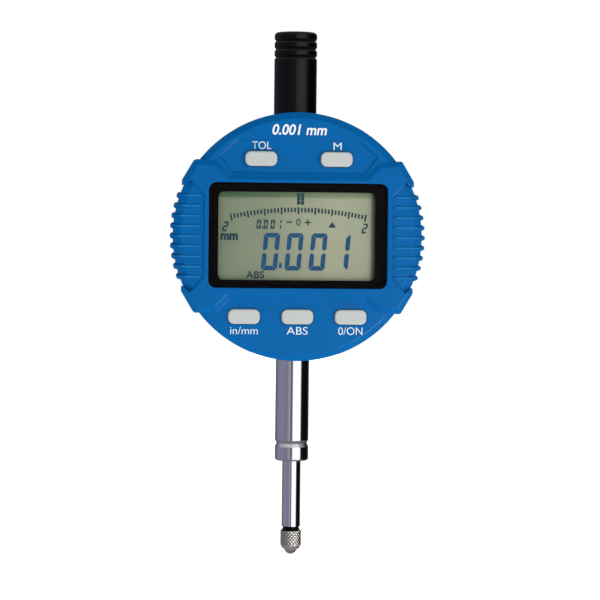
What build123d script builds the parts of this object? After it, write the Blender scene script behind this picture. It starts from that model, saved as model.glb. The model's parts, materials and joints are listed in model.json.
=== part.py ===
from build123d import *
import math
import os

# Digital dial indicator with a 12.7 mm stroke, an 8 mm stem and a round face that turns on its housing.
# Frame: millimetres, +X to the right of the face, +Y to the back, +Z up.
# The origin is on the spindle axis, where the 8 mm stem leaves the housing boss.

# ---- levels along Y, front to back ----
BAND_Y = -14.0
LENS_Y = -13.8
RIB_Y = -13.95
GRIP_Y = -13.7
FIELD_Y = -13.1
PANEL_Y = -12.8
MASK_Y = -12.8
SEAT_Y = -12.6
INNER_Y = -11.7
HOLDER_Y = -11.65
LCD_Y = -11.6
LCD_BACK_Y = -10.4
BOARD_Y = -9.4
BOARD_BACK_Y = -8.4
FLANGE_Y = -8.2
FLANGE_BACK_Y = -7.5
RING_Y = -7.45
COVER_BACK_Y = -6.4
READER_Y = -4.9
READER_BACK_Y = -4.1
SCALE_Y = -3.9
CARRIER_Y = -3.4
PLATE_BACK_Y = -2.3
FLOOR_Y = 3.9
HOUSING_BACK_Y = 5.5
BACK_Y = 7.5

# ---- case ----
CASE_Z = 29.0
CASE_R = 29.0
RIM_BEVEL = 1.5
GRIP_BEVEL = 1.9
GRIP_BEVEL_DEEP = 1.1
BAND_CORNER_R = 0.8
COVER_BORE_R = 27.3
HOUSING_R = 25.0
CAVITY_R = 23.0
FLANGE_R = 26.4
TAB_R = 27.1
BAND_INSET = 1.3
RIB_PROUD = 0.7
RIB_PITCH = 2.35
RIB_COUNT = 9
RIB_WIDTH = 1.5
RIB_START_X = 22.4
STOP_HALF_DEG = 13.2
TAB_HALF_DEG = 1.7
RIBBON_R = 19.5
RIBBON_GAP_HALF_DEG = 35.0

# ---- window and display ----
WINDOW_UP = 0.3
WINDOW_W = 41.75
WINDOW_H = 24.5
WINDOW_R = 1.8
VIEW_W = 36.6
VIEW_H = 20.5
VIEW_R = 1.3
VIEW_SHIFT_X = -0.3
VIEW_SHIFT_Z = -0.15
OPENING_W = 37.9
OPENING_H = 22.0
LCD_W = 38.5
LCD_H = 22.5
HOLDER_WALL = 0.95

# ---- buttons ----
BUTTON_W = 7.4
BUTTON_H = 3.45
BUTTON_R = 1.35
BUTTON_GAP = 0.1
BUTTON_FRONT_Y = -13.85
BUTTON_FLANGE_Y = -11.6
BUTTON_SPOTS = {
    "button_tol": (-8.8, 18.1),
    "button_mode": (8.8, 18.1),
    "button_unit": (-12.45, -18.6),
    "button_abs": (0.0, -18.6),
    "button_zero": (12.45, -18.6),
}

# ---- spindle line ----
STEM_R = 4.0
SHANK_R = 4.25
STEM_END_Z = -24.45
STEM_TOP_Z = 8.0
STEM_GROOVE_Z = -20.3
STEM_BORE_R = 3.0
SPINDLE_R = 2.2
BUSH_R = 2.23
SPINDLE_END_Z = -40.5
SPINDLE_TOP_Z = 60.6
KNURL_R = 2.45
KNURL_TOP_Z = -41.1
KNURL_END_Z = -44.75
BALL_R = 1.5
TIP_Z = -46.95
THREAD_R = 1.25
CAP_R = 5.05
CAP_BASE_Z = 57.6
CAP_TOP_Z = 77.3
NIPPLE_R = 3.8
NIPPLE_BASE_Z = 50.2
NIPPLE_TOP_Z = 66.0
BOSS_R = 5.2
BOSS_BASE_Z = 0.5
TOP_BOSS_R = 5.4
TOP_BOSS_BASE_Z = 50.0
TOP_BOSS_TOP_Z = 57.4

# ---- carrier, guide and spring ----
CARRIER_Z = 12.0
CARRIER_TALL = 10.0
CARRIER_HALF_X = 6.5
PLATE_HALF_X = 3.2
PLATE_TOP_Z = 36.5
RAIL_X = -9.5
PIN_Z = 19.0
PIN_R = 0.8
SPRING_X = 7.9
SPRING_LOW_Z = 9.0
SPRING_HIGH_Z = 20.0
SPRING_R = 1.05
WIRE_R = 0.2

# ---- battery ----
CELL_X = 16.4
CELL_UP = -4.0
CELL_R = 5.8
CELL_Y = 0.2
CELL_BACK_Y = 5.6
CUP_R = 6.75
CUP_BORE_R = 5.95
CUP_Y = -1.2
CUP_FLOOR_Y = -0.4
LID_HEAD_R = 7.0
LID_BODY_R = 6.3
LID_GROOVE_R = 5.75
SEAL_R = 0.27

# ---- rear lug and screws ----
LUG_HALF_X = 2.5
LUG_HOLE_Y = 12.6
LUG_HOLE_R = 3.25
LUG_R = 5.6
BACK_SCREW_SPOTS = [(11.9, 17.0), (-11.9, 17.0), (-11.9, -17.0), (11.9, -17.0)]
BOARD_SCREW_SPOTS = [(0.0, 21.5), (-6.22, -20.6), (6.22, -20.6)]
READER_POST_SPOTS = [(-8.8, 14.5), (8.8, 14.5)]


def level(y):
    """A sketch plane facing the front at depth y; its centre is the middle of the case."""
    return Plane(origin=(0, y, CASE_Z), x_dir=(1, 0, 0), z_dir=(0, -1, 0))


def wedge(middle_deg, half_deg):
    """Corners of a thin wedge from the middle of the case out past its rim, for cutting arcs."""
    reach = 2 * CASE_R
    ends = [math.radians(middle_deg - half_deg), math.radians(middle_deg + half_deg)]
    return [(0, 0)] + [(reach * math.cos(a), reach * math.sin(a)) for a in ends]


def shelf(z):
    """A level sketch plane at height z, square to the spindle."""
    return Plane.XY.offset(z)


# ---- front cover: round turning face with a raised band, two ribbed grips and button holes ----
shoulder = [(15.7, 14.5), (18.75, 17.45), (24.1, 17.85), (26.95, 13.05)]
right_side = shoulder + [(x, -z) for x, z in reversed(shoulder)]
band_outline = right_side + [(-x, -z) for x, z in right_side]
grip_side = [(21.9, 9.6), (25.1, 12.95), (26.5, 11.8), (34.0, 11.8)]
right_grip = grip_side + [(x, -z) for x, z in reversed(grip_side)]
left_grip = [(-x, z) for x, z in right_grip]
panel_half = [(14.0, 22.6), (18.5, 18.7), (15.5, 14.75)]
panel_outline = panel_half + [(-x, z) for x, z in reversed(panel_half)]


with BuildPart() as grip_pads:
    with BuildSketch(level(COVER_BACK_Y)):
        Circle(CASE_R)
    extrude(amount=COVER_BACK_Y - GRIP_Y)
    chamfer(grip_pads.faces().sort_by(Axis.Y)[0].edges(), length=GRIP_BEVEL_DEEP, length2=GRIP_BEVEL)
    with BuildSketch(level(COVER_BACK_Y)):
        Polygon(*right_grip, align=None)
        Polygon(*left_grip, align=None)
    extrude(amount=COVER_BACK_Y - BAND_Y, mode=Mode.INTERSECT)

# ribs: a bevelled disc cut down to bars that are round at both ends and taper to a fine ridge at the front
rib_heights = [RIB_PITCH * (rib - (RIB_COUNT - 1) / 2) for rib in range(RIB_COUNT)]
rib_side = [(RIB_Y, 0.12), (GRIP_Y, 0.24), (GRIP_Y + 1.7, 0.45), (GRIP_Y + 3.7, RIB_WIDTH / 2),
            (COVER_BACK_Y + 1.0, RIB_WIDTH / 2)]
with BuildPart() as grip_ribs:
    with BuildSketch(level(COVER_BACK_Y)):
        Circle(CASE_R + RIB_PROUD)
    extrude(amount=COVER_BACK_Y - RIB_Y)
    chamfer(grip_ribs.faces().sort_by(Axis.Y)[0].edges(), length=GRIP_BEVEL_DEEP, length2=GRIP_BEVEL)
    with BuildSketch(level(COVER_BACK_Y)):
        for rib_height in rib_heights:
            reach = math.sqrt((CASE_R + RIB_PROUD) ** 2 - rib_height ** 2)
            middle = (reach + RIB_START_X) / 2
            with Locations((middle, rib_height), (-middle, rib_height)):
                RectangleRounded(reach - RIB_START_X, RIB_WIDTH, 0.45 * RIB_WIDTH)
    extrude(amount=COVER_BACK_Y - BAND_Y, mode=Mode.INTERSECT)
    with BuildSketch(Plane(origin=(-2 * CASE_R, 0, CASE_Z), x_dir=(0, 1, 0), z_dir=(1, 0, 0))):
        for rib_height in rib_heights:
            upper = [(y, rib_height + half) for y, half in rib_side]
            lower = [(y, rib_height - half) for y, half in reversed(rib_side)]
            Polygon(*upper, *lower, align=None)
    extrude(amount=4 * CASE_R, mode=Mode.INTERSECT)

# the raised band with its sloping edge, its outer corners rounded
with BuildPart() as cover_band:
    with BuildSketch(level(COVER_BACK_Y)):
        Polygon(*band_outline, align=None)
    extrude(amount=COVER_BACK_Y - FIELD_Y)
    with BuildSketch(level(FIELD_Y)):
        Polygon(*band_outline, align=None)
    extrude(amount=FIELD_Y - BAND_Y, taper=math.degrees(math.atan2(BAND_INSET, FIELD_Y - BAND_Y)))
    with BuildSketch(level(COVER_BACK_Y)) as rounded_outline:
        Polygon(*band_outline, align=None)
        fillet(rounded_outline.vertices(), radius=BAND_CORNER_R)
    extrude(amount=COVER_BACK_Y - BAND_Y, mode=Mode.INTERSECT)

with BuildPart() as front_cover:
    with BuildSketch(level(COVER_BACK_Y)):
        Circle(CASE_R)
    extrude(amount=COVER_BACK_Y - FIELD_Y)
    chamfer(front_cover.faces().sort_by(Axis.Y)[0].edges(), length=RIM_BEVEL * 0.75, length2=RIM_BEVEL)
    add(cover_band.part)
    with BuildSketch(level(COVER_BACK_Y)):
        Polygon(*right_grip, align=None)
        Polygon(*left_grip, align=None)
    extrude(amount=COVER_BACK_Y - BAND_Y + 1, mode=Mode.SUBTRACT)
    add(grip_pads.part)
    add(grip_ribs.part)
    # the shallow panel round the two upper buttons
    with BuildSketch(level(PANEL_Y)):
        Polygon(*panel_outline, align=None)
    extrude(amount=PANEL_Y - FIELD_Y, mode=Mode.SUBTRACT)
    # the bore behind the face, open to the back
    with BuildSketch(level(COVER_BACK_Y)):
        Circle(COVER_BORE_R)
    extrude(amount=COVER_BACK_Y - INNER_Y, mode=Mode.SUBTRACT)
    # window seat and the opening through it
    with BuildSketch(level(SEAT_Y)):
        with Locations((0, WINDOW_UP)):
            RectangleRounded(WINDOW_W, WINDOW_H, WINDOW_R)
    extrude(amount=SEAT_Y - BAND_Y, mode=Mode.SUBTRACT)
    with BuildSketch(level(INNER_Y)):
        with Locations((VIEW_SHIFT_X, WINDOW_UP + VIEW_SHIFT_Z)):
            RectangleRounded(OPENING_W, OPENING_H, VIEW_R)
    extrude(amount=INNER_Y - SEAT_Y, mode=Mode.SUBTRACT)
    # button holes
    with BuildSketch(level(INNER_Y)):
        with Locations(*BUTTON_SPOTS.values()):
            RectangleRounded(BUTTON_W + 2 * BUTTON_GAP, BUTTON_H + 2 * BUTTON_GAP, BUTTON_R + BUTTON_GAP)
    extrude(amount=INNER_Y - BAND_Y, mode=Mode.SUBTRACT)
    # posts that carry the main board
    with BuildSketch(level(BOARD_Y)):
        with Locations(*BOARD_SCREW_SPOTS):
            Circle(1.3)
    extrude(amount=BOARD_Y - INNER_Y)
    with BuildSketch(level(BOARD_Y)):
        with Locations(*BOARD_SCREW_SPOTS):
            Circle(0.5)
    extrude(amount=1.5, mode=Mode.SUBTRACT)
    # stop rib inside the rim, at the top, that the housing tab meets at either end of the turn
    with BuildSketch(level(FLANGE_BACK_Y)):
        Circle(COVER_BORE_R)
        Circle(COVER_BORE_R - 0.7, mode=Mode.SUBTRACT)
        Polygon(*wedge(90, STOP_HALF_DEG), align=None, mode=Mode.INTERSECT)
    extrude(amount=FLANGE_BACK_Y - FLANGE_Y)

# ---- window lens and the dark mask behind it ----
with BuildPart() as window_lens:
    with BuildSketch(level(MASK_Y)):
        with Locations((0, WINDOW_UP)):
            RectangleRounded(WINDOW_W - 0.1, WINDOW_H - 0.1, WINDOW_R - 0.05)
    extrude(amount=MASK_Y - LENS_Y)
    chamfer(window_lens.faces().sort_by(Axis.Y)[0].edges(), length=0.2)

with BuildPart() as window_mask:
    with BuildSketch(level(SEAT_Y)):
        with Locations((0, WINDOW_UP)):
            RectangleRounded(WINDOW_W - 0.1, WINDOW_H - 0.1, WINDOW_R - 0.05)
        with Locations((VIEW_SHIFT_X, WINDOW_UP + VIEW_SHIFT_Z)):
            RectangleRounded(VIEW_W, VIEW_H, VIEW_R, mode=Mode.SUBTRACT)
    extrude(amount=SEAT_Y - MASK_Y)

# ---- liquid crystal panel, its holder and the two contact strips ----
with BuildPart() as lcd_panel:
    with BuildSketch(level(LCD_BACK_Y)):
        with Locations((VIEW_SHIFT_X, WINDOW_UP)):
            Rectangle(LCD_W, LCD_H)
    extrude(amount=LCD_BACK_Y - LCD_Y)

with BuildPart() as lcd_holder:
    with BuildSketch(level(BOARD_Y)):
        with Locations((VIEW_SHIFT_X, WINDOW_UP)):
            Rectangle(LCD_W + 2 * HOLDER_WALL, LCD_H + 2 * HOLDER_WALL)
            Rectangle(LCD_W, LCD_H, mode=Mode.SUBTRACT)
    extrude(amount=BOARD_Y - HOLDER_Y)
    # ledge under the panel, between the two contact strips
    with BuildSketch(level(BOARD_Y)):
        with Locations((VIEW_SHIFT_X, WINDOW_UP)):
            Rectangle(LCD_W, LCD_H - 5.0)
            Rectangle(LCD_W - 4.0, LCD_H - 8.0, mode=Mode.SUBTRACT)
    extrude(amount=BOARD_Y - LCD_BACK_Y)

with BuildPart() as zebra_strips:
    with BuildSketch(level(BOARD_Y)):
        with Locations((VIEW_SHIFT_X, WINDOW_UP)):
            with GridLocations(0, LCD_H - 2.4, 1, 2):
                Rectangle(LCD_W - 2.0, 1.8)
    extrude(amount=BOARD_Y - LCD_BACK_Y)

# ---- main board with its chips, switches and screws ----
with BuildPart() as main_board:
    with BuildSketch(level(BOARD_BACK_Y)):
        Circle(26.9)
        with Locations(*BOARD_SCREW_SPOTS):
            Circle(0.6, mode=Mode.SUBTRACT)
        with Locations((-24.6, 0), (24.6, 0)):
            RectangleRounded(3.0, 6.0, 0.8, mode=Mode.SUBTRACT)
    extrude(amount=BOARD_BACK_Y - BOARD_Y)

with BuildPart() as board_chips:
    with BuildSketch(level(BOARD_BACK_Y + 0.75)):
        with Locations((-8.5, 5.0)):
            Rectangle(9.0, 9.0)
        with Locations((9.0, 7.0)):
            Rectangle(7.0, 5.0)
        with Locations((9.5, -6.5)):
            Rectangle(5.0, 4.0)
        with Locations((-2.0, -12.0), (2.5, -12.0)):
            Rectangle(1.6, 3.2)
    extrude(amount=0.75)

with BuildPart() as tact_switches:
    with BuildSketch(level(BOARD_Y)):
        with Locations(*BUTTON_SPOTS.values()):
            Rectangle(5.2, 3.4)
    extrude(amount=0.55)
    with BuildSketch(level(BOARD_Y - 0.55)):
        with Locations(*BUTTON_SPOTS.values()):
            Circle(0.9)
    extrude(amount=0.15)

with BuildPart() as board_screws:
    with BuildSketch(level(BOARD_BACK_Y + 0.6)):
        with Locations(*BOARD_SCREW_SPOTS):
            Circle(1.1)
    extrude(amount=0.6)
    with BuildSketch(level(BOARD_BACK_Y)):
        with Locations(*BOARD_SCREW_SPOTS):
            Circle(0.5)
    extrude(amount=2.4)
    with BuildSketch(level(BOARD_BACK_Y + 0.6)):
        with Locations(*BOARD_SCREW_SPOTS):
            Rectangle(1.3, 0.25)
            Rectangle(0.25, 1.3)
    extrude(amount=0.3, mode=Mode.SUBTRACT)

# ---- push buttons: cap, flange behind the face and a short plunger ----
buttons = {}
for button_name, button_spot in BUTTON_SPOTS.items():
    with BuildPart() as button:
        with BuildSketch(level(BUTTON_FLANGE_Y + 0.6)):
            with Locations(button_spot):
                RectangleRounded(BUTTON_W + 1.3, BUTTON_H + 1.2, BUTTON_R + 0.5)
        extrude(amount=0.6)
        with BuildSketch(level(BUTTON_FLANGE_Y)):
            with Locations(button_spot):
                RectangleRounded(BUTTON_W, BUTTON_H, BUTTON_R)
        extrude(amount=BUTTON_FLANGE_Y - BUTTON_FRONT_Y)
        fillet(button.faces().sort_by(Axis.Y)[0].edges(), radius=0.45)
        with BuildSketch(level(BUTTON_FLANGE_Y + 1.05)):
            with Locations(button_spot):
                Circle(1.0)
        extrude(amount=0.45)
    buttons[button_name] = button

# ---- threaded ring that keeps the face on the housing, and the ring that gives the turn its drag ----
with BuildPart() as face_ring:
    with BuildSketch(level(COVER_BACK_Y)):
        Circle(COVER_BORE_R)
        Circle(HOUSING_R + 0.06, mode=Mode.SUBTRACT)
        with PolarLocations(COVER_BORE_R, 4, start_angle=45):
            Rectangle(2.0, 1.6, mode=Mode.SUBTRACT)
    extrude(amount=COVER_BACK_Y - RING_Y)

with BuildPart() as face_o_ring:
    with BuildSketch(Plane(origin=(0, -6.9, CASE_Z), x_dir=(1, 0, 0), z_dir=(0, 0, 1))):
        with Locations((HOUSING_R - 0.24, 0)):
            Circle(0.3)
    revolve(axis=Axis((0, 0, CASE_Z), (0, 1, 0)))

# ---- rear housing: cup with a flange at its mouth, a floor, bosses and the battery cup ----
with BuildPart() as rear_housing:
    with BuildSketch(level(HOUSING_BACK_Y)):
        Circle(HOUSING_R)
    extrude(amount=HOUSING_BACK_Y - FLANGE_Y)
    with BuildSketch(level(FLANGE_BACK_Y)):
        Circle(FLANGE_R)
    extrude(amount=FLANGE_BACK_Y - FLANGE_Y)
    with BuildSketch(level(FLANGE_BACK_Y)):
        Circle(TAB_R)
        Polygon(*wedge(-90, TAB_HALF_DEG), align=None, mode=Mode.INTERSECT)
    extrude(amount=FLANGE_BACK_Y - FLANGE_Y)
    with BuildSketch(level(FLOOR_Y)):
        Circle(CAVITY_R)
    extrude(amount=FLOOR_Y - FLANGE_Y + 1, mode=Mode.SUBTRACT)
    # round bosses through the wall for the stem and the upper guide, then the bosses inside the cavity
    with BuildSketch(shelf(BOSS_BASE_Z)):
        Circle(BOSS_R)
    extrude(amount=STEM_TOP_Z - BOSS_BASE_Z)
    with BuildSketch(shelf(TOP_BOSS_BASE_Z)):
        Circle(TOP_BOSS_R)
    extrude(amount=TOP_BOSS_TOP_Z - TOP_BOSS_BASE_Z)
    with BuildSketch(level(FLOOR_Y)):
        with Locations(*BACK_SCREW_SPOTS):
            Circle(2.2)
    extrude(amount=4.4)
    with BuildSketch(level(FLOOR_Y)):
        with Locations(*READER_POST_SPOTS):
            Circle(1.4)
    extrude(amount=FLOOR_Y - READER_BACK_Y)
    with BuildSketch(level(FLOOR_Y)):
        with Locations((CELL_X, CELL_UP)):
            Circle(CUP_R)
    extrude(amount=FLOOR_Y - CUP_Y)
    # holes: stem seat, upper guide seat, battery, screws, contact slots, data socket
    with BuildSketch(shelf(-1)):
        Circle(SHANK_R)
    extrude(amount=STEM_TOP_Z + 1, mode=Mode.SUBTRACT)
    with BuildSketch(shelf(NIPPLE_BASE_Z - 1)):
        Circle(NIPPLE_R)
    extrude(amount=TOP_BOSS_TOP_Z - NIPPLE_BASE_Z + 2, mode=Mode.SUBTRACT)
    with BuildSketch(level(HOUSING_BACK_Y)):
        with Locations((CELL_X, CELL_UP)):
            Circle(CUP_BORE_R)
    extrude(amount=HOUSING_BACK_Y - CUP_FLOOR_Y, mode=Mode.SUBTRACT)
    with BuildSketch(level(HOUSING_BACK_Y)):
        with Locations(*BACK_SCREW_SPOTS):
            Circle(0.85)
    extrude(amount=5.0, mode=Mode.SUBTRACT)
    with BuildSketch(level(READER_BACK_Y)):
        with Locations(*READER_POST_SPOTS):
            Circle(0.5)
    extrude(amount=-3.0, mode=Mode.SUBTRACT)
    with BuildSketch(level(FLOOR_Y)):
        with Locations((CELL_X, CELL_UP + CUP_BORE_R + 0.3)):
            Rectangle(4.4, 2.2)
    extrude(amount=FLOOR_Y - CUP_Y, mode=Mode.SUBTRACT)
    with BuildSketch(level(CUP_FLOOR_Y)):
        with Locations((CELL_X + 3.4, CELL_UP)):
            Rectangle(0.8, 3.4)
    extrude(amount=CUP_FLOOR_Y - CUP_Y, mode=Mode.SUBTRACT)
    with BuildSketch(Plane(origin=(-24.2, 0, CASE_Z), x_dir=(0, -1, 0), z_dir=(-1, 0, 0))):
        Rectangle(6.4, 12.6)
    extrude(amount=2.0, mode=Mode.SUBTRACT)
    with BuildSketch(Plane(origin=(-24.2, 0, CASE_Z), x_dir=(0, -1, 0), z_dir=(-1, 0, 0))):
        Rectangle(4.0, 10.0)
    extrude(amount=-3.0, mode=Mode.SUBTRACT)
    # groove for the drag ring
    with BuildSketch(level(-6.55)):
        Circle(HOUSING_R + 1)
        Circle(HOUSING_R - 0.54, mode=Mode.SUBTRACT)
    extrude(amount=0.7, mode=Mode.SUBTRACT)

# ---- stem, its bush and the spindle ----
with BuildPart() as stem:
    with BuildSketch(Plane.XZ):
        Polygon(
            (STEM_BORE_R, STEM_TOP_Z), (SHANK_R, STEM_TOP_Z), (SHANK_R, 0), (STEM_R, 0),
            (STEM_R, STEM_GROOVE_Z + 0.8),
            (STEM_R - 0.4, STEM_GROOVE_Z), (STEM_R, STEM_GROOVE_Z - 0.8), (STEM_R, STEM_END_Z),
            (STEM_BORE_R, STEM_END_Z),
            align=None,
        )
    revolve(axis=Axis.Z)
    fillet(stem.faces().sort_by(Axis.Z)[0].edges().sort_by(Edge.length)[-1:], radius=0.6)

with BuildPart() as lower_bush:
    with BuildSketch(Plane.XZ):
        Polygon(
            (BUSH_R, STEM_END_Z + 11.0), (STEM_BORE_R, STEM_END_Z + 11.0),
            (STEM_BORE_R, STEM_END_Z + 0.3), (BUSH_R, STEM_END_Z + 0.3),
            align=None,
        )
    revolve(axis=Axis.Z)

with BuildPart() as upper_guide:
    with BuildSketch(Plane.XZ):
        Polygon(
            (STEM_BORE_R, NIPPLE_BASE_Z), (NIPPLE_R, NIPPLE_BASE_Z), (NIPPLE_R, NIPPLE_TOP_Z),
            (STEM_BORE_R, NIPPLE_TOP_Z),
            align=None,
        )
    revolve(axis=Axis.Z)
    chamfer(upper_guide.faces().sort_by(Axis.Z)[-1].edges().sort_by(Edge.length)[-1:], length=0.3)

with BuildPart() as upper_bush:
    with BuildSketch(Plane.XZ):
        Polygon(
            (BUSH_R, NIPPLE_BASE_Z), (STEM_BORE_R, NIPPLE_BASE_Z), (STEM_BORE_R, NIPPLE_BASE_Z + 9.0),
            (BUSH_R, NIPPLE_BASE_Z + 9.0),
            align=None,
        )
    revolve(axis=Axis.Z)

with BuildPart() as spindle:
    with BuildSketch(shelf(SPINDLE_END_Z)):
        Circle(SPINDLE_R)
    extrude(amount=SPINDLE_TOP_Z - SPINDLE_END_Z)
    chamfer(spindle.faces().sort_by(Axis.Z)[0].edges(), length=0.3)
    chamfer(spindle.faces().sort_by(Axis.Z)[-1].edges(), length=0.3)
    with BuildSketch(shelf(SPINDLE_END_Z)):
        Circle(THREAD_R)
    extrude(amount=5.5, mode=Mode.SUBTRACT)

# ---- screw-in contact point with its hard ball ----
with BuildPart() as contact_point:
    with BuildSketch(Plane.XZ):
        Polygon(
            (0, SPINDLE_END_Z + 5.0), (THREAD_R, SPINDLE_END_Z + 5.0), (THREAD_R, SPINDLE_END_Z),
            (SPINDLE_R - 0.3, SPINDLE_END_Z), (KNURL_R - 0.35, KNURL_TOP_Z + 0.1), (KNURL_R, KNURL_TOP_Z - 0.25),
            (KNURL_R, KNURL_END_Z + 0.15), (KNURL_R - 0.1, KNURL_END_Z), (2.1, KNURL_END_Z - 0.65),
            (1.34, TIP_Z + BALL_R - 0.62), (0, TIP_Z + BALL_R - 0.62),
            align=None,
        )
    revolve(axis=Axis.Z)
    with Locations((0, 0, TIP_Z + BALL_R)):
        Sphere(BALL_R, mode=Mode.SUBTRACT)

with BuildPart() as contact_ball:
    with Locations((0, 0, TIP_Z + BALL_R)):
        Sphere(BALL_R)

# ---- top cap: closed sleeve with three finger grooves, screwed on the upper guide ----
cap_outline = [(0, CAP_TOP_Z), (CAP_R, CAP_TOP_Z)]
for groove in range(3):
    groove_z = CAP_TOP_Z - 2.1 - 1.93 * groove
    cap_outline += [(CAP_R, groove_z + 0.5), (CAP_R - 0.35, groove_z), (CAP_R, groove_z - 0.5)]
cap_outline += [
    (CAP_R, CAP_BASE_Z), (NIPPLE_R, CAP_BASE_Z), (NIPPLE_R, NIPPLE_TOP_Z + 0.3),
    (2.9, NIPPLE_TOP_Z + 0.3), (2.9, CAP_TOP_Z - 1.6), (0, CAP_TOP_Z - 1.6),
]
with BuildPart() as top_cap:
    with BuildSketch(Plane.XZ):
        Polygon(*cap_outline, align=None)
    revolve(axis=Axis.Z)
    fillet(top_cap.faces().sort_by(Axis.Z)[-1].edges(), radius=0.9)

# ---- scale carrier clamped on the spindle, with its scale, screws, guide pin and spring post ----
with BuildPart() as scale_carrier:
    with BuildSketch(shelf(CARRIER_Z)):
        Polygon(
            (-CARRIER_HALF_X, CARRIER_Y), (CARRIER_HALF_X, CARRIER_Y),
            (CARRIER_HALF_X, 3.3), (-CARRIER_HALF_X, 3.3), align=None,
        )
        Circle(SPINDLE_R, mode=Mode.SUBTRACT)
    extrude(amount=CARRIER_TALL)
    with BuildSketch(shelf(CARRIER_Z + CARRIER_TALL)):
        with Locations((0, (CARRIER_Y + PLATE_BACK_Y) / 2)):
            Rectangle(2 * PLATE_HALF_X, PLATE_BACK_Y - CARRIER_Y)
    extrude(amount=PLATE_TOP_Z - CARRIER_Z - CARRIER_TALL)
    with BuildSketch(shelf(SPRING_HIGH_Z - 1.5)):
        with Locations((7.8, 2.3)):
            Rectangle(2.8, 2.0)
    extrude(amount=3.0)
    # clamp screw holes and the guide pin hole
    with BuildSketch(Plane(origin=(0, 3.3, 0), x_dir=(1, 0, 0), z_dir=(0, -1, 0))):
        with Locations((4.4, CARRIER_Z + 2.5), (4.4, CARRIER_Z + 6.5)):
            Circle(0.6)
    extrude(amount=5.0, mode=Mode.SUBTRACT)
    with BuildSketch(Plane(origin=(-CARRIER_HALF_X, 0, PIN_Z), x_dir=(0, 1, 0), z_dir=(1, 0, 0))):
        Circle(PIN_R)
    extrude(amount=3.0, mode=Mode.SUBTRACT)
    with BuildSketch(Plane(origin=(SPRING_X, 3.3, SPRING_HIGH_Z), x_dir=(1, 0, 0), z_dir=(0, -1, 0))):
        Circle(0.6)
    extrude(amount=2.0, mode=Mode.SUBTRACT)

with BuildPart() as carrier_screws:
    with BuildSketch(Plane(origin=(0, 3.3, 0), x_dir=(1, 0, 0), z_dir=(0, -1, 0))):
        with Locations((4.4, CARRIER_Z + 2.5), (4.4, CARRIER_Z + 6.5)):
            Circle(0.6)
    extrude(amount=4.6)
    with BuildSketch(Plane(origin=(0, 3.75, 0), x_dir=(1, 0, 0), z_dir=(0, -1, 0))):
        with Locations((4.4, CARRIER_Z + 2.5), (4.4, CARRIER_Z + 6.5)):
            Circle(1.1)
            Rectangle(2.4, 0.3, mode=Mode.SUBTRACT)
    extrude(amount=0.2)
    with BuildSketch(Plane(origin=(0, 3.55, 0), x_dir=(1, 0, 0), z_dir=(0, -1, 0))):
        with Locations((4.4, CARRIER_Z + 2.5), (4.4, CARRIER_Z + 6.5)):
            Circle(1.1)
    extrude(amount=0.25)

with BuildPart() as scale_strip:
    with BuildSketch(shelf(CARRIER_Z + 1)):
        with Locations((0, (SCALE_Y + CARRIER_Y) / 2)):
            Rectangle(5.0, CARRIER_Y - SCALE_Y)
    extrude(amount=PLATE_TOP_Z - CARRIER_Z - 1.5)

with BuildPart() as guide_pin:
    with BuildSketch(Plane(origin=(RAIL_X - 0.2, 0, PIN_Z), x_dir=(0, 1, 0), z_dir=(1, 0, 0))):
        Circle(PIN_R)
    extrude(amount=6.2)
    chamfer(guide_pin.faces().sort_by(Axis.X)[0].edges(), length=0.15)

with BuildPart() as guide_rail:
    with BuildSketch(shelf(15.2)):
        with Locations((RAIL_X, 0.95)):
            Rectangle(3.0, 5.9)
        with Locations((RAIL_X + 0.5, 0)):
            Rectangle(2.0, 2 * PIN_R + 0.06, mode=Mode.SUBTRACT)
    extrude(amount=19.8)

with BuildPart() as spring_post_fixed:
    with BuildSketch(Plane(origin=(SPRING_X, FLOOR_Y, SPRING_LOW_Z), x_dir=(1, 0, 0), z_dir=(0, -1, 0))):
        Circle(0.6)
    extrude(amount=5.1)

with BuildPart() as spring_post_moving:
    with BuildSketch(Plane(origin=(SPRING_X, 3.3, SPRING_HIGH_Z), x_dir=(1, 0, 0), z_dir=(0, -1, 0))):
        Circle(0.6)
    extrude(amount=4.5)

# ---- return spring: close coil with an eye at each end ----
spring_turns = 13
spring_bottom = SPRING_LOW_Z + 1.0
spring_tall = SPRING_HIGH_Z - SPRING_LOW_Z - 2.0
with BuildPart() as return_spring:
    with BuildLine(Plane(origin=(SPRING_X, 0, spring_bottom))) as coil_path:
        Helix(pitch=spring_tall / spring_turns, height=spring_tall, radius=SPRING_R)
    with BuildSketch(Plane(origin=coil_path.line @ 0, z_dir=coil_path.line % 0)):
        Circle(WIRE_R)
    sweep()
    for eye_z in (SPRING_LOW_Z, SPRING_HIGH_Z):
        with BuildSketch(Plane(origin=(SPRING_X, 0, eye_z), x_dir=(1, 0, 0), z_dir=(0, 0, 1))):
            with Locations((0.6 + WIRE_R + 0.02, 0)):
                Circle(WIRE_R)
        revolve(axis=Axis((SPRING_X, 0, eye_z), (0, 1, 0)))

with BuildPart() as stop_bumper:
    with BuildSketch(shelf(STEM_TOP_Z)):
        Circle(3.9)
        Circle(2.5, mode=Mode.SUBTRACT)
    extrude(amount=CARRIER_Z - STEM_TOP_Z - 0.05)

# ---- reader board behind the display board, its screws and the ribbon to the turning face ----
with BuildPart() as reader_board:
    with BuildSketch(level(READER_BACK_Y)):
        with Locations((0, 6.0)):
            RectangleRounded(22.0, 22.0, 1.0)
        with Locations(*READER_POST_SPOTS):
            Circle(0.6, mode=Mode.SUBTRACT)
    extrude(amount=READER_BACK_Y - READER_Y)

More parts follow.
